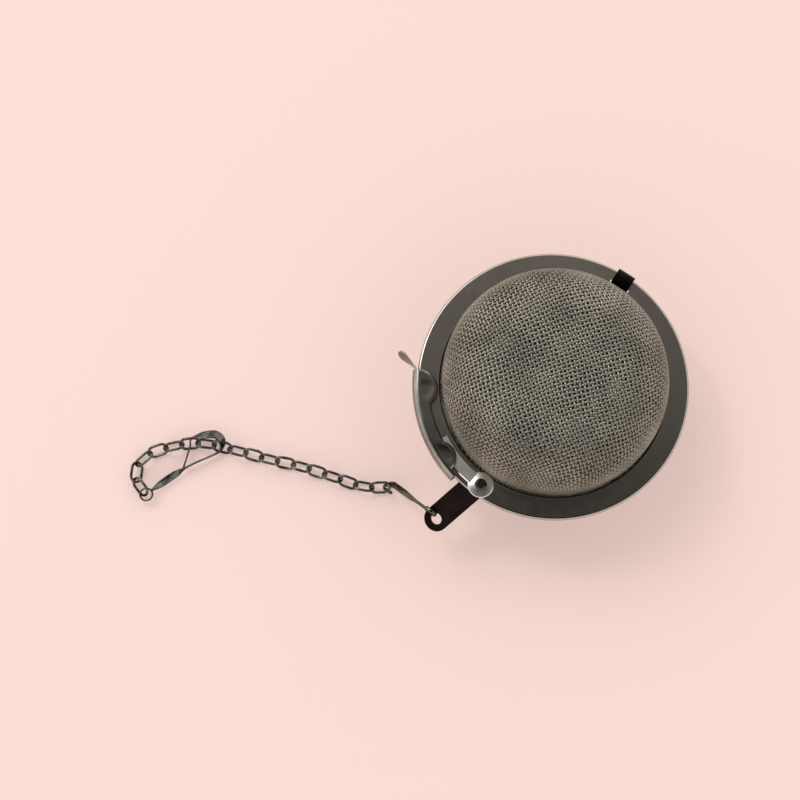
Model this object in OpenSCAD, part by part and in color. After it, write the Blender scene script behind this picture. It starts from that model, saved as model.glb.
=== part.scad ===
// Mesh ball tea infuser: two pressed wire-mesh cups with folded sheet rims, a strap hinge, a latch
// lever on a rivet, and a chain that ends in a hook for the rim of a cup.
// The cups part on a level plane. The origin is the middle of the lower cup's flat crown, +Z is up.

/* [Cups] */
// Outer radius of each mesh cup where it meets its rim
dome_r = 22.5; // [22:0.1:22.8]
// Depth of each mesh cup, from its hem to its flat crown
dome_depth = 17; // [15:0.5:19]
// Radius of the flat crown
crown_r = 11; // [8:0.5:12]
// Thickness of the woven mesh
mesh_t = 0.4; // [0.3:0.05:0.5]

/* [Rims] */
// Outer radius of the upper rim, which overhangs the lower one
upper_rim_r = 27.5; // [27.3:0.1:28]
// Outer radius of the lower rim
lower_rim_r = 26.6; // [26.4:0.1:26.7]
// Inner radius of both rims
rim_inner_r = 23.1; // [23:0.1:23.2]
// Thickness of the rim sheet
sheet_t = 0.35; // [0.3:0.05:0.4]
// Thickness of the flattened mesh hem gripped by the folded rim
hem_t = 0.3; // [0.25:0.05:0.4]

/* [Hinge] */
// Direction of the hinge from the middle of the ball, in degrees
hinge_dir = 56; // [50:1:62]
// Width of the hinge strap
strap_w = 3.8; // [3:0.2:4.2]
// Thickness of the hinge strap
strap_t = 0.4; // [0.3:0.05:0.4]

/* [Latch] */
// Direction of the latch rivet from the middle of the ball, in degrees
rivet_dir = 234; // [230:1:238]
// Radius of the lever's round ear
ear_r = 2.6; // [2.2:0.1:2.8]
// Length of the thumb tang
tang_l = 5.4; // [4:0.2:7]

/* [Chain] */
// Distance between the middles of two chain links
link_pitch = 3.45; // [3.4:0.01:3.5]
// Diameter of the chain wire
wire_d = 0.6; // [0.5:0.05:0.6]
// Thickness of the strip that both hooks are bent from
hook_t = 0.4; // [0.3:0.05:0.4]
// Width of the hook strip
hook_w = 0.9; // [0.8:0.1:1.1]

/* [Hidden] */
$fn = 48;
GAP = 0.08; // running clearance between parts that slide on each other
OVER = 1; // how far a cutting shape runs past what it cuts
LAP = 0.05; // how far joined shapes run into each other
BAND_STEPS = 12; // straight runs in each bend of the cup hook

// Heights
rim_t = 2 * sheet_t + hem_t;
part_z = dome_depth + sheet_t + hem_t / 2;
corner_r = dome_r - crown_r;
wall_h = dome_depth - corner_r;

// Hinge: the strip between the slot and the upper rim's edge turns inside the strap's loop
slot_in = 24.5;
slot_out = 25.3;
slot_w = strap_w + 0.6;
strip_mid = (slot_out + upper_rim_r) / 2;
loop_in = 1.26;
loop_out = loop_in + strap_t;
hinge_z = part_z + rim_t / 2;
chord_x = 25.15;
weld_x = rim_inner_r + 0.3;

// Latch lever and rivet
rivet_at = 25.2;
rivet_r = 0.75;
head_r = 1.2;
head_top_r = 0.8;
head_h = 0.45;
tail_r = 0.95;
tail_h = 0.3;
tail_hole_r = 1.1;
lever_bore_r = rivet_r + 0.05;
arm_z = part_z + rim_t + GAP;
head_z = arm_z + sheet_t + GAP / 2;
leaf_z = arm_z + sheet_t;
leaf_top = leaf_z + sheet_t;
web_in = upper_rim_r + 0.15;
web_t = 0.45;
web_out = web_in + web_t;
web_bottom = part_z - rim_t - 0.5;
web_from = 174;
web_to = 223;
lip_in = lower_rim_r + 0.15;
leaf_in = 25.3;
lobe_1_dir = 182;
lobe_2_dir = 213;
tang_dir = 136;

// Chain tab, bent down outside the rim
tab_t = 0.5;
tab_w = 5.2;
tab_dir = 218.5;
tab_drop = 30;
tab_bend = 1.66;
tab_side = 0.79;
tab_pad_l = 2.1;
tab_arm_l = 10.2;
tab_hole_r = 1.2;
tab_z = part_z - rim_t - tab_t;

// Hooks
eye_in = 1.1;
eye_out = eye_in + hook_t;
tip_l = 2.5;
hook_dir = 143;
hook_l = 14.2;
// Turn of the strip between the hook's eye and its bend, so that the bend lies across the first link
hook_twist = -50;

// Chain: each link reaches from one pivot to the next, and neighbours are rolled opposite ways
link_straight = 0.75;
link_bow = 1.3;
link_roll = 45;
link_z = 1.55;
seat = link_straight + link_bow - link_pitch / 2;
dirs = [182, 170, 160, 161, 162, 164, 169, 165, 165, 165, 166, 172, 186, 192, 200, 222, 264, 308];
n_links = 18;

// Where the tab's hole, the hook's eye and the hook's bend are
tab_foot = rivet_at * unit(rivet_dir) + tab_bend * unit(tab_dir) + tab_side * unit(tab_dir - 90);
tab_hole = tab_foot + tab_arm_l * cos(tab_drop) * unit(tab_dir);
eye_at = tab_hole + (tab_w / 2 + tab_hole_r) / 2 * unit(tab_dir - 90);
eye_z = tab_z + tab_t / 2 - tab_arm_l * sin(tab_drop);
hook_drop = asin((eye_z - link_z) / hook_l);
bend_at = eye_at + hook_l * cos(hook_drop) * unit(hook_dir);

function unit(a) = [cos(a), sin(a)];
function pivot(i) = i == 1 ? bend_at + seat * unit(dirs[0]) : pivot(i - 1) + link_pitch * unit(dirs[i - 2]);
function link_mid(i) = pivot(i) + link_pitch / 2 * unit(dirs[i - 1]);

// Cup hook: its bowed end is drawn as a band round three circles, each [x, y, outer radius]
cup_eye = pivot(n_links + 1) + seat * unit(dirs[n_links - 1]);
bow_mid = link_mid(11) + 2.1 * unit(166);
bow = [bow_mid[0], bow_mid[1], 1.9 + hook_t];
shoulder_mid = link_mid(13) + [1.3, 0.14];
shoulder = [shoulder_mid[0], shoulder_mid[1], 1.1 + hook_t];
neck = [-76.5, -14.5, 0.1 + hook_t];

steel = [0.42, 0.41, 0.39];
bright = [0.75, 0.75, 0.74];
dark = [0.16, 0.14, 0.13];
mesh_grey = [0.36, 0.35, 0.33];

module ring(r_out, r_in) {
    difference() {
        circle(r = r_out, $fn = 96);
        circle(r = r_in, $fn = 96);
    }
}

// Flat sector of a ring, anticlockwise from one angle to another
module arc_band(r_in, r_out, from, to) {
    rest = 360 - to + from;
    steps = ceil(rest / 60);
    difference() {
        ring(r_out, r_in);
        polygon(concat([[0, 0]], [for (k = [0:steps]) 2 * r_out * unit(to + rest * k / steps)]));
    }
}

// Flat bar from one point to another, run a little past both so that it joins what it meets
module bar(a, b, w) {
    d = b - a;
    translate(a) rotate(atan2(d[1], d[0])) translate([-LAP, -w / 2]) square([norm(d) + 2 * LAP, w]);
}

module at_hinge() {
    rotate(hinge_dir) children();
}

module at_rivet() {
    rotate(rivet_dir) translate([rivet_at, 0]) children();
}

// Half section of a mesh cup, crown down at height 0
module cup_section() {
    square([crown_r, mesh_t]);
    translate([dome_r - mesh_t, corner_r]) square([mesh_t, wall_h]);
    translate([crown_r, corner_r]) intersection() {
        ring(corner_r, corner_r - mesh_t);
        translate([0, -corner_r]) square(corner_r);
    }
}

// Mesh cup with its flattened hem, crown down
module mesh_cup(hem_r) {
    rotate_extrude($fn = 96) {
        cup_section();
        translate([dome_r - mesh_t, dome_depth - hem_t / 2]) square([hem_r - dome_r + mesh_t, hem_t]);
    }
}

// Folded rim: two sheets joined by a round fold at the outer edge, open inward for the hem
module folded_rim(r_out) {
    fold_r = rim_t / 2;
    rotate_extrude($fn = 96) {
        for (z = [0, rim_t - sheet_t])
            translate([rim_inner_r, z]) square([r_out - fold_r - rim_inner_r, sheet_t]);
        translate([r_out - fold_r, fold_r]) intersection() {
            ring(fold_r, hem_t / 2);
            translate([0, -fold_r]) square([fold_r, rim_t]);
        }
    }
}

// What the lower cup loses so that the strap and the turning strip pass
module lower_cut() {
    at_hinge() {
        translate([chord_x, -rim_inner_r, 0]) cube([rim_inner_r, 2 * rim_inner_r, part_z + OVER]);
        translate([slot_in + 0.1, -slot_w / 2, 0]) cube([rim_inner_r, slot_w, part_z + OVER]);
    }
    at_rivet() translate([0, 0, part_z - rim_t - OVER]) cylinder(r = tail_hole_r, h = rim_t + 2 * OVER);
}

module upper_cut() {
    at_hinge() translate([slot_in, -slot_w / 2, part_z - OVER])
        cube([slot_out - slot_in, slot_w, rim_t + 2 * OVER]);
    at_rivet() translate([0, 0, part_z - OVER]) cylinder(r = rivet_r, h = rim_t + 2 * OVER);
}

module lower_rim() {
    color(steel) difference() {
        translate([0, 0, part_z - rim_t]) folded_rim(lower_rim_r);
        lower_cut();
    }
}

module lower_mesh() {
    color(mesh_grey) difference() {
        mesh_cup(lower_rim_r - rim_t / 2);
        lower_cut();
    }
}

module upper_rim() {
    color(steel) difference() {
        translate([0, 0, part_z]) folded_rim(upper_rim_r);
        upper_cut();
    }
}

module upper_mesh() {
    color(mesh_grey) difference() {
        translate([0, 0, 2 * part_z]) mirror([0, 0, 1]) mesh_cup(upper_rim_r - rim_t / 2);
        upper_cut();
    }
}

// Strap welded under the lower rim, looped round the upper rim's outer strip
module hinge_strap() {
    color(dark) at_hinge() {
        translate([strip_mid, 0, hinge_z]) rotate([90, 0, 0])
            linear_extrude(strap_w, center = true) ring(loop_out, loop_in);
        translate([weld_x, -strap_w / 2, part_z - rim_t - strap_t])
            cube([strip_mid - weld_x, strap_w, strap_t]);
    }
}

module latch_rivet() {
    color(dark) at_rivet() {
        translate([0, 0, part_z]) cylinder(r = rivet_r, h = head_z - part_z);
        translate([0, 0, part_z - tail_h]) cylinder(r = tail_r, h = tail_h);
        translate([0, 0, head_z]) cylinder(r1 = head_r, r2 = head_top_r, h = head_h);
    }
}

// Leaf over the rim: a curved band whose inner edge swells into two lobes
module leaf_outline() {
    arc_band(leaf_in, web_out, lobe_1_dir, lobe_2_dir);
    arc_band(web_in - LAP, web_out, web_from, web_to);
    intersection() {
        union() {
            translate(27.3 * unit(lobe_1_dir)) circle(r = 3.7);
            translate(27.5 * unit(lobe_2_dir)) circle(r = 3.1);
        }
        circle(r = web_out, $fn = 96);
    }
}

module arm_outline() {
    at_rivet() circle(r = ear_r);
    arc_band(23.8, 26.4, 206, rivet_dir - 1);
}

// Lever: a pivoted arm, a leaf that covers the rim, a web down the edge, a lip and a thumb tang
module latch_lever() {
    web_h = leaf_top - web_bottom;
    color(bright) difference() {
        union() {
            translate([0, 0, arm_z]) linear_extrude(sheet_t) arm_outline();
            translate([0, 0, leaf_z]) linear_extrude(sheet_t) leaf_outline();
            translate([0, 0, web_bottom]) linear_extrude(web_h) arc_band(web_in, web_out, web_from, web_to);
            translate([0, 0, web_bottom]) linear_extrude(sheet_t) arc_band(lip_in, web_out, web_from, web_to);
            translate(concat((web_in + web_t / 2) * unit(web_from + 0.5), web_bottom)) rotate(tang_dir) {
                translate([0, -web_t / 2, 0]) cube([tang_l - web_h / 2, web_t, web_h]);
                translate([tang_l - web_h / 2, web_t / 2, web_h / 2]) rotate([90, 0, 0])
                    cylinder(d = web_h, h = web_t);
            }
        }
        at_rivet() translate([0, 0, arm_z - OVER]) cylinder(r = lever_bore_r, h = sheet_t + 2 * OVER);
    }
}

// Tab welded under the lower rim, its arm sloping down and out to a hole
module chain_tab() {
    color(dark) translate([tab_foot[0], tab_foot[1], tab_z + tab_t / 2]) rotate(tab_dir) {
        translate([-tab_pad_l, -tab_w / 2, -tab_t / 2]) cube([tab_pad_l, tab_w, tab_t]);
        rotate([90, 0, 0]) cylinder(d = tab_t, h = tab_w, center = true);
        rotate([0, tab_drop, 0]) linear_extrude(tab_t, center = true) difference() {
            union() {
                translate([0, -tab_w / 2]) square([tab_arm_l, tab_w]);
                translate([tab_arm_l, 0]) circle(d = tab_w);
            }
            translate([tab_arm_l, 0]) circle(r = tab_hole_r);
        }
    }
}

// Hook with a closed eye in the tab, a straight shank and an open bend that holds the chain
module tab_hook() {
    mid_r = eye_in + hook_t / 2;
    color(steel) translate([eye_at[0], eye_at[1], eye_z]) rotate(hook_dir) {
        rotate([90, hook_drop, 0]) linear_extrude(hook_w, center = true) ring(eye_out, eye_in);
        rotate([90 + hook_twist, hook_drop, 0]) linear_extrude(hook_w, center = true) {
            bar([mid_r, 0], [hook_l, -mid_r], hook_t);
            translate([hook_l, 0]) arc_band(eye_in, eye_out, -90, 90);
            translate([hook_l - tip_l, eye_in]) square([tip_l, hook_t]);
        }
    }
}

function spot(c) = [c[0], c[1]];
// Direction of the outer normal of the straight run between two circles of a band
function outward(a, b) = let (d = spot(b) - spot(a)) atan2(d[1], d[0]) - acos((a[2] - b[2]) / norm(d));

// Outline of a band round a list of circles, anticlockwise, drawn in by an inset
function band_outline(c, inset) = [
    for (i = [0:2])
        let (from = outward(c[(i + 2) % 3], c[i]), next = outward(c[i], c[(i + 1) % 3]))
        let (to = next < from ? next + 360 : next)
        for (k = [0:BAND_STEPS]) spot(c[i]) + (c[i][2] - inset) * unit(from + (to - from) * k / BAND_STEPS)
];

module cup_hook() {
    circles = [bow, shoulder, neck];
    color(steel) translate([0, 0, link_z - hook_w / 2]) linear_extrude(hook_w) {
        translate(cup_eye) ring(eye_out, eye_in);
        bar(
            cup_eye + (eye_in + hook_t / 2) * unit(atan2(neck[1] - cup_eye[1], neck[0] - cup_eye[0])),
            spot(neck),
            hook_t
        );
        difference() {
            polygon(band_outline(circles, 0));
            polygon(band_outline(circles, hook_t));
        }
    }
}

// One oval link of round wire in the level plane, long way along X
module link_ring() {
    for (side = [-1, 1]) {
        translate([side * link_straight, 0]) rotate(-90 * side)
            rotate_extrude(angle = 180) translate([link_bow, 0]) circle(d = wire_d, $fn = 24);
        translate([-link_straight, side * link_bow]) rotate([0, 90, 0])
            cylinder(d = wire_d, h = 2 * link_straight, $fn = 24);
    }
}

// Link number i, counted from 1 at the tab's hook
module chain_link(i) {
    color(steel) translate(concat(link_mid(i), link_z)) rotate(dirs[i - 1])
        rotate([i % 2 == 1 ? -link_roll : link_roll, 0, 0]) link_ring();
}

lower_rim();
lower_mesh();
hinge_strap();
chain_tab();
upper_rim();
upper_mesh();
latch_rivet();
latch_lever();
tab_hook();
chain_link(1);  // chain_link_01
chain_link(2);  // chain_link_02
chain_link(3);  // chain_link_03
chain_link(4);  // chain_link_04
chain_link(5);  // chain_link_05
chain_link(6);  // chain_link_06
chain_link(7);  // chain_link_07
chain_link(8);  // chain_link_08
chain_link(9);  // chain_link_09
chain_link(10);  // chain_link_10
chain_link(11);  // chain_link_11
chain_link(12);  // chain_link_12
chain_link(13);  // chain_link_13
chain_link(14);  // chain_link_14
chain_link(15);  // chain_link_15
chain_link(16);  // chain_link_16
chain_link(17);  // chain_link_17
chain_link(18);  // chain_link_18
cup_hook();
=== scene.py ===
"""Looks of the mesh ball tea infuser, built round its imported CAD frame. Lengths below are in millimetres."""

import math

import bpy
import numpy as np
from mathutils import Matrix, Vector


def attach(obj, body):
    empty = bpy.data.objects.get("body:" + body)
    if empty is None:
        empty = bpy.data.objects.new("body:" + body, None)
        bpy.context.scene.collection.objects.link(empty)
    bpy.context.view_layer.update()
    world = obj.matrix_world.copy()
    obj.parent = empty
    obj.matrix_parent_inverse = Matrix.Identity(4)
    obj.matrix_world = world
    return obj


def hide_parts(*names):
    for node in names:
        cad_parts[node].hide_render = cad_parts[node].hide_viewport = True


MM = 0.001

# Sizes shared with the CAD source
DOME_R = 22.5
DOME_DEPTH = 17.0
CROWN_R = 11.0
MESH_T = 0.4
PART_Z = 17.5
RIM_T = 1.0
SHEET_T = 0.35
RIVET_DIR = 234.0
RIVET_AT = 25.2
ARM_Z = 18.58
LEAF_TOP = 19.28
WEB_OUT = 28.1
WEB_BOTTOM = 16.0
LIP_IN = 26.75
LOBES = ((27.3, 182.0, 3.7), (27.5, 213.0, 3.1))  # distance, direction and radius of each lobe of the leaf
TANG_L = 5.6
TANG_LEAN = 22.0
TAB_DIR = 218.5
TAB_DROP = math.radians(30)
TAB_BEND = 1.66
TAB_SIDE = 0.79
TAB_ARM_L = 10.2
TAB_T = 0.5
HOLE_TO_EYE = 1.9
LINK_PITCH = 3.45
LINK_STRAIGHT = 0.75
LINK_BOW = 1.3
LINK_Z = 1.55
WIRE_R = 0.3
HOOK_T = 0.4
EYE_R = 1.3
HOOK_DIR = 143.0
HOOK_L = 14.2
HOOK_TWIST = -50.0
SEAT = LINK_STRAIGHT + LINK_BOW - LINK_PITCH / 2
HEADINGS = [182, 170, 160, 161, 162, 164, 169, 165, 165, 165, 166, 172, 186, 192, 200, 222, 264, 308]
FREE_LINKS = 10  # links that turn on their own; the rest form the end loop

# Camera
CAMERA_AT = (-30.92, -66.3, 348.0)
CAMERA_TILT = 10.85
CAMERA_LENS = 74.9

FLOOR_COLOUR = (0.55, 0.42, 0.388)
FLOOR_GLOW = (0.34, 0.262, 0.246)
SUN_POWER = 0.7
SIDE_LIGHT = 1.35
TOP_LIGHT = 0.26
TOP_DARK = 0.0


def unit(degrees):
    a = math.radians(degrees)
    return np.array([math.cos(a), math.sin(a)])


def at_z(point, z):
    return np.array([point[0], point[1], z])


# ---------------------------------------------------------------- meshes


def soften(piece, width):
    """Rounds the sharp edges of a piece."""
    bevel = piece.modifiers.new("edge", "BEVEL")
    bevel.width = width * MM
    bevel.segments = 2
    bevel.limit_method = "ANGLE"
    bevel.angle_limit = math.radians(40)


def make_mesh(name, verts, faces, smooth=True):
    mesh = bpy.data.meshes.new(name)
    mesh.from_pydata((np.asarray(verts) * MM).tolist(), [], faces)
    mesh.validate()
    mesh.update()
    if smooth:
        mesh.polygons.foreach_set("use_smooth", [True] * len(mesh.polygons))
    piece = bpy.data.objects.new(name, mesh)
    bpy.context.scene.collection.objects.link(piece)
    return piece


def place(piece, body, nodes, material):
    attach(piece, body)
    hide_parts(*nodes)
    piece.data.materials.append(material)
    return piece


def tube_rings(path, normals, section):
    """Rings of points round a path: section gives (along the side, along the normal) of each point."""
    path = np.asarray(path, float)
    tangent = np.gradient(path, axis=0)
    tangent /= np.linalg.norm(tangent, axis=1)[:, None]
    side = np.cross(tangent, normals)
    side /= np.linalg.norm(side, axis=1)[:, None]
    up = np.cross(side, tangent)
    return path[:, None, :] + section[..., :1] * side[:, None, :] + section[..., 1:] * up[:, None, :]


def ring_faces(rings, around, closed, first=0, caps=True):
    faces = []
    for i in range(rings if closed else rings - 1):
        here, there = first + i * around, first + ((i + 1) % rings) * around
        for j in range(around):
            k = (j + 1) % around
            faces.append((here + j, here + k, there + k, there + j))
    if caps and not closed:
        faces.append(tuple(first + j for j in reversed(range(around))))
        faces.append(tuple(first + (rings - 1) * around + j for j in range(around)))
    return faces


# ---------------------------------------------------------------- materials


def nodes_of(material):
    tree = material.node_tree
    return tree.nodes, tree.links, tree.nodes["Principled BSDF"]


def metal(name, colour, dark, rough, scale=120.0, stain=60.0, bump=0.02):
    """Worn metal: blotches vary the colour, fine grain varies the roughness and the bump."""
    material = bpy.data.materials.new(name)
    material.use_nodes = True
    nodes, links, shader = nodes_of(material)
    where = nodes.new("ShaderNodeTexCoord")

    blotch = nodes.new("ShaderNodeTexNoise")
    blotch.inputs["Scale"].default_value = stain
    blotch.inputs["Detail"].default_value = 5
    blotch.inputs["Roughness"].default_value = 0.6
    links.new(where.outputs["Object"], blotch.inputs["Vector"])
    tint = nodes.new("ShaderNodeValToRGB")
    tint.color_ramp.elements[0].position = 0.35
    tint.color_ramp.elements[0].color = (*dark, 1)
    tint.color_ramp.elements[1].position = 0.65
    tint.color_ramp.elements[1].color = (*colour, 1)
    links.new(blotch.outputs["Fac"], tint.inputs["Fac"])
    links.new(tint.outputs["Color"], shader.inputs["Base Color"])

    grain = nodes.new("ShaderNodeTexNoise")
    grain.inputs["Scale"].default_value = scale
    grain.inputs["Detail"].default_value = 8
    links.new(where.outputs["Object"], grain.inputs["Vector"])
    worn = nodes.new("ShaderNodeMapRange")
    worn.inputs["To Min"].default_value = rough - 0.07
    worn.inputs["To Max"].default_value = rough + 0.07
    links.new(grain.outputs["Fac"], worn.inputs["Value"])
    links.new(worn.outputs["Result"], shader.inputs["Roughness"])
    relief = nodes.new("ShaderNodeBump")
    relief.inputs["Strength"].default_value = 0.35
    relief.inputs["Distance"].default_value = bump * MM
    links.new(grain.outputs["Fac"], relief.inputs["Height"])
    links.new(relief.outputs["Normal"], shader.inputs["Normal"])
    shader.inputs["Metallic"].default_value = 1.0
    return material


def floor_material():
    material = bpy.data.materials.new("pale_floor")
    material.use_nodes = True
    nodes, links, shader = nodes_of(material)
    shader.inputs["Base Color"].default_value = (*FLOOR_COLOUR, 1)
    shader.inputs["Roughness"].default_value = 0.9
    shader.inputs["Specular IOR Level"].default_value = 0.0
    shader.inputs["Emission Color"].default_value = (*FLOOR_GLOW, 1)
    shader.inputs["Emission Strength"].default_value = 1.0
    return material


# ---------------------------------------------------------------- woven cups

PITCH = 0.80  # distance between neighbouring wires
WEAVE_W = 0.30  # half width of the weave wire
WEAVE_H = 0.14  # half height of the weave wire
WEAVE_WAVE = 0.13  # how far a wire rises and dips
WEAVE_SIDES = 4
WEAVE_STEP = PITCH / 3
SHEET_R = 34.56 + 0.15  # radius of the flat disc of weave that the cup is pressed from
WARP_DIR = 21.0
WEFT_DIR = 107.0


def cup_point(s):
    """(radius, depth below the crown, outward normal) at arc length s from the crown's middle."""
    mid_r = DOME_R - MESH_T / 2
    bend = mid_r - CROWN_R
    s = np.asarray(s, float)
    arc = bend * math.pi / 2
    wall = DOME_DEPTH - bend - MESH_T / 2
    turn = np.clip((s - CROWN_R) / bend, 0, math.pi / 2)
    past = np.clip(s - CROWN_R - arc, 0, wall)
    flare = np.clip(s - CROWN_R - arc - wall, 0, None)
    r = np.minimum(s, CROWN_R) + bend * np.sin(turn) + flare
    depth = MESH_T / 2 + bend * (1 - np.cos(turn)) + past
    return r, depth, np.sin(turn), np.cos(turn)


def pulled(flat):
    """Where pressing the cup has dragged each point of the sheet sideways."""
    u, v = flat[:, 0], flat[:, 1]
    drift = np.stack([
        0.42 * np.sin(v / 4.1 + 0.6) + 0.22 * np.sin(u / 2.3 + v / 3.1) + 0.07 * np.sin(2.9 * v + 1.3 * u),
        0.38 * np.sin(u / 4.7 + 1.9) + 0.20 * np.sin(u / 3.3 - v / 2.6) + 0.07 * np.sin(3.1 * u - 1.7 * v),
    ], axis=1)
    return flat + drift * np.clip((SHEET_R - np.hypot(u, v)) / 3, 0, 1)[:, None]


def weave(name, along, across, phase, up):
    """All the wires of a cup that run one way, laid over and under the other way's wires."""
    d, n = unit(along), unit(across)
    count = int(SHEET_R / PITCH)
    verts, faces, used = [], [], 0
    corner = np.arange(WEAVE_SIDES) * 2 * math.pi / WEAVE_SIDES
    for k in range(-count, count + 1):
        base = k * PITCH * np.array([-d[1], d[0]])
        half = math.sqrt(max(SHEET_R**2 - (k * PITCH) ** 2, 0))
        steps = int(2 * half / WEAVE_STEP)
        if steps < 6:
            continue
        t = np.linspace(-half, half, steps)
        flat = base + t[:, None] * d
        crossing = (flat[:, 0] * -n[1] + flat[:, 1] * n[0]) / PITCH
        flat = pulled(flat)
        s = np.hypot(flat[:, 0], flat[:, 1])
        azimuth = np.arctan2(flat[:, 1], flat[:, 0])
        r, depth, out, top = cup_point(s)
        wave = WEAVE_WAVE * np.cos(math.pi * (crossing + k + phase))
        calm = np.clip((SHEET_R - s) / 1.2, 0, 1)
        lift = wave * calm
        rr = r + lift * out
        zz = depth - lift * top
        z = 2 * PART_Z - zz if up else zz
        path = np.stack([rr * np.cos(azimuth), rr * np.sin(azimuth), z], axis=1)
        sign = 1 if up else -1
        normal = np.stack([out * np.cos(azimuth), out * np.sin(azimuth), sign * top], axis=1)
        section = np.stack([WEAVE_W * np.cos(corner), WEAVE_H * np.sin(corner)], axis=1)
        section = np.broadcast_to(section, (steps, WEAVE_SIDES, 2))
        faces += ring_faces(steps, WEAVE_SIDES, False, first=used)
        verts.append(tube_rings(path, normal, section).reshape(-1, 3))
        used += steps * WEAVE_SIDES
    return make_mesh(name, np.concatenate(verts), faces)


# ---------------------------------------------------------------- latch lever


def leaf_inner(angle):
    """Inner radius of the latch leaf at one direction: a band between two round lobes."""
    inner = 25.35 if 182 < angle < 213 else WEB_OUT - 1.0
    for at, mid, lobe in LOBES:
        away = math.radians(angle - mid)
        reach = lobe**2 - (at * math.sin(away)) ** 2
        if reach > 0 and abs(away) < 0.5:
            inner = min(inner, at * math.cos(away) - math.sqrt(reach))
    return inner


def latch_mesh():
    """Lever blade: leaf, rolled shoulder, web and lip as one bent sheet."""
    angles = np.linspace(174, 223, 197)
    roll = 1.0
    verts, faces = [], []
    rows = []
    for a in angles:
        inner = leaf_inner(a)
        shoulder = WEB_OUT - roll
        flat = [(inner, LEAF_TOP - 0.30), (inner + 0.06, LEAF_TOP - 0.12), (inner + 0.2, LEAF_TOP - 0.02)]
        for q in np.linspace(0, 1, 14):
            r = inner + 0.35 + (shoulder - inner - 0.35) * q
            dish = sum(math.exp(-((math.hypot(*(r * unit(a) - at * unit(mid)) ) / 1.7) ** 4))
                       for at, mid in ((25.9, 182.5), (26.3, 213.0)))
            flat.append((r, LEAF_TOP - 0.06 * min(dish, 1) * math.sin(math.pi * q) ** 0.5))
        bend = [
            (shoulder + roll * math.sin(b), LEAF_TOP - roll + roll * math.cos(b))
            for b in np.linspace(0, math.pi / 2, 9)[1:]
        ]
        web = [(WEB_OUT, z) for z in np.linspace(LEAF_TOP - roll, WEB_BOTTOM + 0.5, 4)[1:]]
        foot = [(WEB_OUT - 0.15, WEB_BOTTOM + 0.15), (WEB_OUT - 0.5, WEB_BOTTOM), (LIP_IN, WEB_BOTTOM)]
        outline = flat + bend + web + foot
        rows.append([at_z(r * unit(a), z) for r, z in outline])
    width = len(rows[0])
    verts = [p for row in rows for p in row]
    for i in range(len(rows) - 1):
        for j in range(width - 1):
            faces.append((i * width + j, (i + 1) * width + j, (i + 1) * width + j + 1, i * width + j + 1))
    piece = make_mesh("latch_blade", verts, faces)
    solid = piece.modifiers.new("sheet", "SOLIDIFY")
    solid.thickness = SHEET_T * MM
    solid.offset = -1
    soften(piece, 0.08)
    return piece


def lathe(name, centre, profile, around=96):
    """Closed ring turned about an upright axis from a profile of (radius, height)."""
    verts = [at_z(centre + r * unit(360 * i / around), z) for i in range(around) for r, z in profile]
    return make_mesh(name, verts, ring_faces(around, len(profile), True))


def arm_meshes():
    """The arm below the leaf and the dished round ear that turns on the rivet."""
    centre = RIVET_AT * unit(RIVET_DIR)
    top, low = ARM_Z + SHEET_T, ARM_Z
    profile = [(0.82, low), (0.82, top), (1.2, top), (1.3, top - 0.01), (2.3, top - 0.24), (2.5, top - 0.29),
               (2.59, top - 0.33), (2.6, low), (2.5, low), (1.6, low)]
    ear = lathe("latch_ear", centre, profile, 72)
    rows = []
    for a in np.linspace(206, 229.4, 48):
        edge = [(23.8, low), (23.8, top - 0.12), (23.92, top), (26.2, top), (26.4, top - 0.2), (26.4, low)]
        rows.append([at_z(r * unit(a), z) for r, z in edge])
    arm = make_mesh("latch_arm", np.concatenate(rows), ring_faces(len(rows), 6, False), smooth=False)
    return [ear, arm]


def tang_mesh():
    """Thumb tang: the web's end turned outward and twisted so that its face looks up."""
    start = (WEB_OUT - 0.22) * unit(174)
    t = np.linspace(0, 1, 40)
    turn = 84 + (136 - 84) * np.clip(t * 4, 0, 1)
    step = TANG_L / len(t) * np.stack([np.cos(np.radians(turn)), np.sin(np.radians(turn))], axis=1)
    flat = start + np.cumsum(step, axis=0) - step[0]
    mid = (LEAF_TOP + WEB_BOTTOM) / 2
    path = np.column_stack([flat, np.full(len(t), mid)])
    lean = np.radians(TANG_LEAN * np.clip((t - 0.15) / 0.6, 0, 1))
    across = np.stack([np.sin(np.radians(turn)), -np.cos(np.radians(turn))], axis=1)
    normals = np.column_stack([-across * np.cos(lean)[:, None], np.sin(lean)])
    waist = 1 - 0.28 * np.exp(-(((t - 0.3) / 0.18) ** 2))
    tip = np.sqrt(np.clip(1 - np.clip((t - 0.78) / 0.22, 0, 1) ** 2, 0.002, 1))
    return strip_mesh("latch_tang", path, normals, 2.7 * waist * tip, 0.42)


# ---------------------------------------------------------------- chain and hooks


def pivots():
    tab_foot = RIVET_AT * unit(RIVET_DIR) + TAB_BEND * unit(TAB_DIR) + TAB_SIDE * unit(TAB_DIR - 90)
    hole = tab_foot + TAB_ARM_L * math.cos(TAB_DROP) * unit(TAB_DIR)
    eye = hole + HOLE_TO_EYE * unit(TAB_DIR - 90)
    eye_z = PART_Z - RIM_T - TAB_T / 2 - TAB_ARM_L * math.sin(TAB_DROP)
    drop = math.asin((eye_z - LINK_Z) / HOOK_L)
    bend = eye + HOOK_L * math.cos(drop) * unit(HOOK_DIR)
    points = [bend + SEAT * unit(HEADINGS[0])]
    for h in HEADINGS:
        points.append(points[-1] + LINK_PITCH * unit(h))
    return eye, eye_z, bend, points


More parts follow.
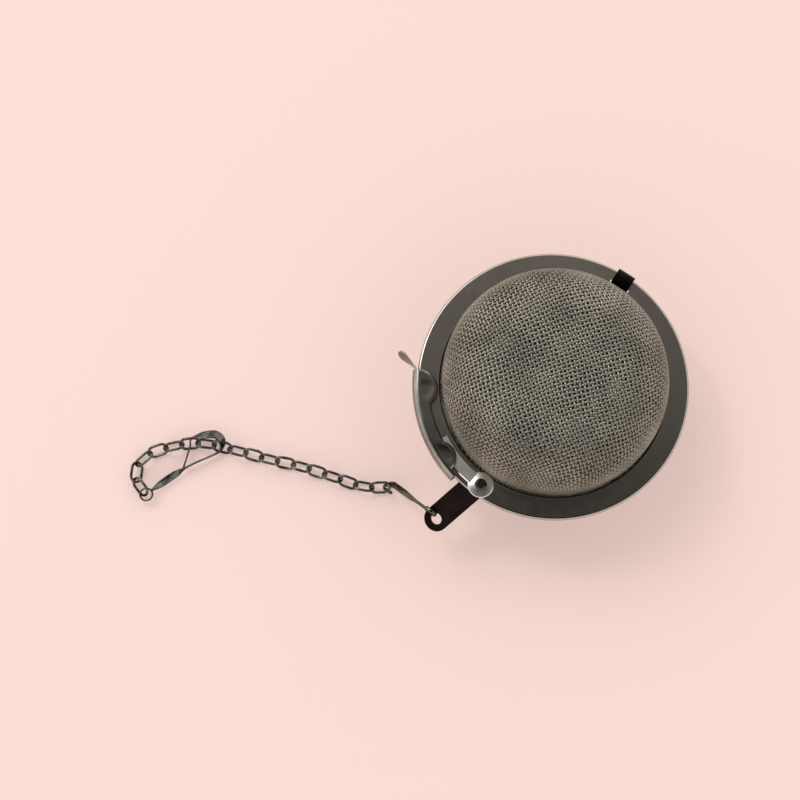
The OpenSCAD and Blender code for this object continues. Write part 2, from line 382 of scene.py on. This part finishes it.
def link_mesh(name, middle, heading, hand):
    """Curb link: an oval of round wire, rolled 45 degrees one way or the other about its length."""
    count, around = 40, 10
    half = math.pi * LINK_BOW
    total = 2 * (half + 2 * LINK_STRAIGHT)
    path = []
    for i in range(count):
        t = total * i / count
        if t < 2 * LINK_STRAIGHT:
            p = (-LINK_STRAIGHT + t, -LINK_BOW)
        elif t < 2 * LINK_STRAIGHT + half:
            a = (t - 2 * LINK_STRAIGHT) / LINK_BOW - math.pi / 2
            p = (LINK_STRAIGHT + LINK_BOW * math.cos(a), LINK_BOW * math.sin(a))
        elif t < 4 * LINK_STRAIGHT + half:
            p = (LINK_STRAIGHT - (t - 2 * LINK_STRAIGHT - half), LINK_BOW)
        else:
            a = (t - 4 * LINK_STRAIGHT - half) / LINK_BOW + math.pi / 2
            p = (-LINK_STRAIGHT + LINK_BOW * math.cos(a), LINK_BOW * math.sin(a))
        path.append((p[0], p[1], 0.0))
    path = np.array(path)
    roll = np.full(count, hand * math.radians(45))
    y, z = path[:, 1] * np.cos(roll), path[:, 1] * np.sin(roll)
    bent = np.stack([path[:, 0], y, z], axis=1)
    d, n = unit(heading), unit(heading + 90)
    world = np.stack([
        middle[0] + bent[:, 0] * d[0] + bent[:, 1] * n[0],
        middle[1] + bent[:, 0] * d[1] + bent[:, 1] * n[1],
        LINK_Z + bent[:, 2],
    ], axis=1)
    closed = np.vstack([world[-2:], world, world[:2]])
    flat_normal = np.array([-math.sin(roll[0]) * n[0], -math.sin(roll[0]) * n[1], math.cos(roll[0])])
    corner = np.arange(around) * 2 * math.pi / around
    section = WIRE_R * np.stack([np.cos(corner), np.sin(corner)], axis=1)
    section = np.broadcast_to(section, (count + 4, around, 2))
    rings = tube_rings(closed, np.broadcast_to(flat_normal, closed.shape), section)[2:-2]
    return make_mesh(name, rings.reshape(-1, 3), ring_faces(count, around, True))


def strip_mesh(name, path, normals, widths, thick=HOOK_T, closed=False):
    """Flat strip with rounded edges swept along a path; normals point out of its broad face."""
    corner = np.arange(12) * 2 * math.pi / 12
    shape = np.stack([np.sign(np.cos(corner)) * np.abs(np.cos(corner)) ** 0.5, np.sin(corner)], axis=1)
    widths = np.asarray(widths, float)
    section = np.stack([
        shape[None, :, 0] * widths[:, None] / 2,
        np.broadcast_to(shape[:, 1] * thick / 2, (len(path), 12)),
    ], axis=2)
    rings = tube_rings(path, np.asarray(normals, float), section)
    return make_mesh(name, rings.reshape(-1, 3), ring_faces(len(path), 12, closed))


def ring_of(name, centre, across, up, z, width):
    """Closed eye of a hook, round the horizontal direction across to its plane."""
    a = np.radians(np.arange(36) * 10.0)
    out = np.cos(a)[:, None] * np.append(across, 0) + np.sin(a)[:, None] * np.array(up)
    path = at_z(centre, z) + EYE_R * out
    closed = np.vstack([path[-2:], path, path[:2]])
    normals = np.vstack([out[-2:], out, out[:2]])
    corner = np.arange(12) * math.pi / 6
    section = np.stack([width / 2 * np.cos(corner), HOOK_T / 2 * np.sin(corner)], axis=1)
    rings = tube_rings(closed, normals, np.broadcast_to(section, (len(closed), 12, 2)))[2:-2]
    return make_mesh(name, rings.reshape(-1, 3), ring_faces(36, 12, True))


def smooth_curve(points, count):
    """A smooth curve through the points, resampled to even spacing."""
    points = np.array(points, float)
    points = np.vstack([2 * points[0] - points[1], points, 2 * points[-1] - points[-2]])
    fine = []
    for i in range(1, len(points) - 2):
        p0, p1, p2, p3 = points[i - 1:i + 3]
        t = np.linspace(0, 1, 24, endpoint=False)[:, None]
        fine.append(0.5 * (2 * p1 + (p2 - p0) * t + (2 * p0 - 5 * p1 + 4 * p2 - p3) * t**2
                           + (3 * p1 - p0 - 3 * p2 + p3) * t**3))
    fine = np.vstack(fine + [points[-2:-1]])
    length = np.append(0, np.cumsum(np.linalg.norm(np.diff(fine, axis=0), axis=1)))
    even = np.linspace(0, length[-1], count)
    return np.stack([np.interp(even, length, fine[:, k]) for k in range(points.shape[1])], axis=1)


def tab_hook_meshes(eye, eye_z):
    """Eye, shank and open bend of the hook between the tab and the chain."""
    drop = math.asin((eye_z - LINK_Z) / HOOK_L)
    heading = unit(HOOK_DIR)
    across = unit(HOOK_DIR + 90)
    twist = math.radians(HOOK_TWIST)

    def lift(a, b):
        """Point a along the shank and b across it, in the turned plane of the bend."""
        side = -b * math.sin(twist)
        rise = b * math.cos(twist)
        along = a * math.cos(drop) + rise * math.sin(drop)
        spot = along * heading + side * across
        return np.array([eye[0] + spot[0], eye[1] + spot[1],
                         eye_z - a * math.sin(drop) + rise * math.cos(drop)])

    flat = [(x, -EYE_R * (x - EYE_R) / (HOOK_L - EYE_R)) for x in np.linspace(EYE_R, HOOK_L, 40)]
    flat += [(HOOK_L + EYE_R * math.sin(a), -EYE_R * math.cos(a)) for a in np.linspace(0.1, math.pi, 20)]
    flat += [(HOOK_L - x, EYE_R) for x in np.linspace(0.2, 2.6, 10)]
    flat = np.array(flat)
    path = np.array([lift(a, b) for a, b in flat])
    slope = np.gradient(flat, axis=0)
    slope /= np.linalg.norm(slope, axis=1)[:, None]
    normals = np.array([lift(-n[1], n[0]) - lift(0, 0) for n in slope])
    t = np.linspace(0, 1, len(path))
    widths = 0.8 + 1.0 * np.exp(-(((t - 0.45) / 0.22) ** 4)) + 0.2 * np.clip((t - 0.86) / 0.08, 0, 1)
    widths *= np.sqrt(np.clip(1 - np.clip((t - 0.95) / 0.05, 0, 1) ** 2, 0.01, 1))
    shank = strip_mesh("tab_hook_shank", path, normals, widths)
    ring = ring_of("tab_hook_eye", eye, heading, (0, 0, 1), eye_z, 0.9)
    return [shank, ring]


def cup_hook_meshes(points):
    """Eye, tail and bowed end of the hook that hangs on a cup."""
    middle = [points[i] + LINK_PITCH / 2 * unit(HEADINGS[i]) for i in range(len(HEADINGS))]
    eye = points[-1] + SEAT * unit(HEADINGS[-1])
    bow = middle[10] + 2.1 * unit(166)
    shoulder = middle[12] + np.array([1.3, 0.14])
    neck = np.array([-76.5, -14.5])
    tail_dir = (neck - eye) / np.linalg.norm(neck - eye)
    flat = [eye + EYE_R * tail_dir, eye + 5.2 * tail_dir, neck + np.array([0.1, -0.15])]
    flat += [neck + q * (bow + 2.1 * unit(-62) - neck) for q in (0.33, 0.66, 0.9)]
    flat += [bow + 2.1 * unit(a) for a in (-50, -20, 10, 40, 70, 95)]
    flat += [shoulder + 1.3 * unit(a) for a in (95, 130, 170, 200)]
    back = shoulder + 1.3 * unit(205)
    flat += [back + q * (neck + np.array([0.05, 0.1]) - back) for q in (0.3, 0.6, 1.0)]
    path = smooth_curve(flat, 150)
    t = np.linspace(0, 1, len(path))
    tangent = np.gradient(path, axis=0)
    tangent /= np.linalg.norm(tangent, axis=1)[:, None]
    side = np.stack([tangent[:, 1], -tangent[:, 0]], axis=1)
    top = np.exp(-(((t - 0.66) / 0.13) ** 4))
    tail = np.exp(-(((t - 0.13) / 0.11) ** 4))
    face = np.radians(58) * (top + tail)
    normals = np.column_stack([side * np.cos(face)[:, None], np.sin(face)])
    widths = 0.9 + 1.3 * top + 0.8 * tail
    spine = np.column_stack([path, np.full(len(path), LINK_Z) + 0.75 * top])
    blade = strip_mesh("cup_hook_strip", spine, normals, widths)
    ring = ring_of("cup_hook_eye", eye, (1, 0), (0, 1, 0), LINK_Z, 1.0)
    return [blade, ring]


# ---------------------------------------------------------------- build

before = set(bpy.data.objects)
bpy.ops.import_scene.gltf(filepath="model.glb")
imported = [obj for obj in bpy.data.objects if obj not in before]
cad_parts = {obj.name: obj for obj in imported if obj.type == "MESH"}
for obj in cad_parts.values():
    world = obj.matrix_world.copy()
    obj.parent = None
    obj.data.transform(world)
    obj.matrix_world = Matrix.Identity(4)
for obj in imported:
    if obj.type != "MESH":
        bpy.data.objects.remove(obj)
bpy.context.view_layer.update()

rim = metal("rim_steel", (0.38, 0.35, 0.30), (0.33, 0.305, 0.265), 0.2, scale=500, stain=45, bump=0.003)
wire = metal("weave_wire", (0.31, 0.295, 0.25), (0.195, 0.185, 0.155), 0.40, scale=2500, stain=110)
latch = metal("latch_steel", (0.30, 0.28, 0.25), (0.19, 0.175, 0.155), 0.22, scale=500, stain=190, bump=0.004)
# Painted highlight: the ear and arm are the lever's own steel, coloured far brighter than latch_steel to stand
# for the light they reflect.
ear = metal("ear_painted_highlight", (0.92, 0.90, 0.87), (0.72, 0.70, 0.66), 0.30, scale=500, stain=260, bump=0.004)
dark = metal("dark_strap", (0.016, 0.010, 0.009), (0.007, 0.005, 0.004), 0.45, scale=800, stain=150, bump=0.004)
chain = metal("chain_steel", (0.15, 0.15, 0.13), (0.03, 0.03, 0.026), 0.13, scale=900, stain=420, bump=0.004)
# Painted shade: the weave's flattened hem is real, but its near-black colour paints the shadowed gap under the
# flange's inner edge.
hem_painted_shade = metal("hem_wire_painted_shade", (0.05, 0.045, 0.04), (0.02, 0.018, 0.016), 0.5, scale=2500, stain=300)
rivet = metal("rivet_steel", (0.10, 0.095, 0.09), (0.05, 0.045, 0.04), 0.3, scale=900, stain=300, bump=0.004)

for body, node, up in (("lower_shell", "lower_mesh", False), ("upper_shell", "upper_mesh", True)):
    hem_z = PART_Z + 0.5 if up else PART_Z - 0.5
    # Hem ring just inside the flange's inner edge, in the painted-shade colour.
    hem_outline = [(22.2, hem_z - 0.15), (23.3, hem_z - 0.15), (23.3, hem_z + 0.15), (22.2, hem_z + 0.15)]
    hem = lathe(f"{node}_hem", (0, 0), hem_outline)
    place(hem, body, [node], hem_painted_shade)
    for name, along, across, phase in (("warp", WARP_DIR, WEFT_DIR, 0), ("weft", WEFT_DIR, WARP_DIR, 1)):
        piece = weave(f"{node}_{name}", along, across, phase, up)
        place(piece, body, [node], wire)

for piece in (latch_mesh(), *arm_meshes(), tang_mesh()):
    # The ear and arm get the painted-highlight material; the rest of the lever gets plain latch steel.
    gets_painted_highlight = piece.name in ("latch_ear", "latch_arm")
    place(piece, "latch", ["latch_lever"], ear if gets_painted_highlight else latch)
eye_at, eye_z, bend_at, chain_pivots = pivots()
for i, heading in enumerate(HEADINGS):
    name = f"chain_link_{i + 1:02d}"
    middle = chain_pivots[i] + LINK_PITCH / 2 * unit(heading)
    body = f"link_{i + 1:02d}" if i < FREE_LINKS else "end_loop"
    piece = link_mesh(name + "_wire", middle, heading, -1 if i % 2 == 0 else 1)
    place(piece, body, [name], chain)

for piece in tab_hook_meshes(eye_at, eye_z):
    place(piece, "hook_body", ["tab_hook"], chain)
for piece in cup_hook_meshes(chain_pivots):
    place(piece, "end_loop", ["cup_hook"], chain)

for node, material in (
    ("lower_rim", rim), ("upper_rim", rim), ("hinge_strap", dark), ("chain_tab", dark), ("latch_rivet", rivet),
):
    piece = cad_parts[node]
    piece.data.materials.clear()
    piece.data.materials.append(material)

# ---------------------------------------------------------------- floor, light and camera

bpy.ops.mesh.primitive_plane_add(size=4)
floor = bpy.context.object
floor.name = "floor"
floor.data.materials.append(floor_material())


def studio_world():
    """Bright all round, dim overhead, and dimmest overhead towards the viewer."""
    world = bpy.data.worlds.new("studio")
    world.use_nodes = True
    nodes, links = world.node_tree.nodes, world.node_tree.links
    where = nodes.new("ShaderNodeTexCoord")
    split = nodes.new("ShaderNodeSeparateXYZ")
    links.new(where.outputs["Generated"], split.inputs["Vector"])
    high = nodes.new("ShaderNodeMapRange")
    high.interpolation_type = "SMOOTHSTEP"
    for name, value in (("From Min", 0.62), ("From Max", 0.93), ("To Min", SIDE_LIGHT), ("To Max", 0.0)):
        high.inputs[name].default_value = value
    links.new(split.outputs["Z"], high.inputs["Value"])
    away = nodes.new("ShaderNodeMapRange")
    away.interpolation_type = "SMOOTHSTEP"
    for name, value in (("From Min", 0.09), ("From Max", 0.22), ("To Min", TOP_DARK), ("To Max", TOP_LIGHT)):
        away.inputs[name].default_value = value
    links.new(split.outputs["Y"], away.inputs["Value"])
    total = nodes.new("ShaderNodeMath")
    total.operation = "ADD"
    links.new(high.outputs["Result"], total.inputs[0])
    links.new(away.outputs["Result"], total.inputs[1])
    backdrop = nodes["Background"]
    backdrop.inputs["Color"].default_value = (1.0, 0.965, 0.93, 1)
    links.new(total.outputs["Value"], backdrop.inputs["Strength"])
    return world


sun = bpy.data.lights.new("sun", "SUN")
sun.energy = SUN_POWER
sun.angle = math.radians(35)
sun.color = (1.0, 0.98, 0.96)
sun_lamp = bpy.data.objects.new("sun", sun)
bpy.context.scene.collection.objects.link(sun_lamp)
sun_lamp.rotation_euler = Vector((0.55, -0.6, -1.0)).to_track_quat("-Z", "Y").to_euler()
spark = bpy.data.lights.new("spark", "AREA")
spark.size = 45 * MM
spark.energy = 0.16
spark_lamp = bpy.data.objects.new("spark", spark)
bpy.context.scene.collection.objects.link(spark_lamp)
spark_lamp.location = np.array((-190, 150, 360)) * MM
spark_lamp.rotation_euler = Vector((190, -150, -360)).to_track_quat("-Z", "Y").to_euler()
bpy.context.scene.world = studio_world()
bpy.context.scene.view_settings.view_transform = "Standard"

lens = bpy.data.cameras.new("camera")
lens.lens = CAMERA_LENS
lens.sensor_width = 36
camera = bpy.data.objects.new("camera", lens)
bpy.context.scene.collection.objects.link(camera)
camera.location = np.array(CAMERA_AT) * MM
camera.rotation_euler = (math.radians(CAMERA_TILT), 0, 0)
bpy.context.scene.camera = camera
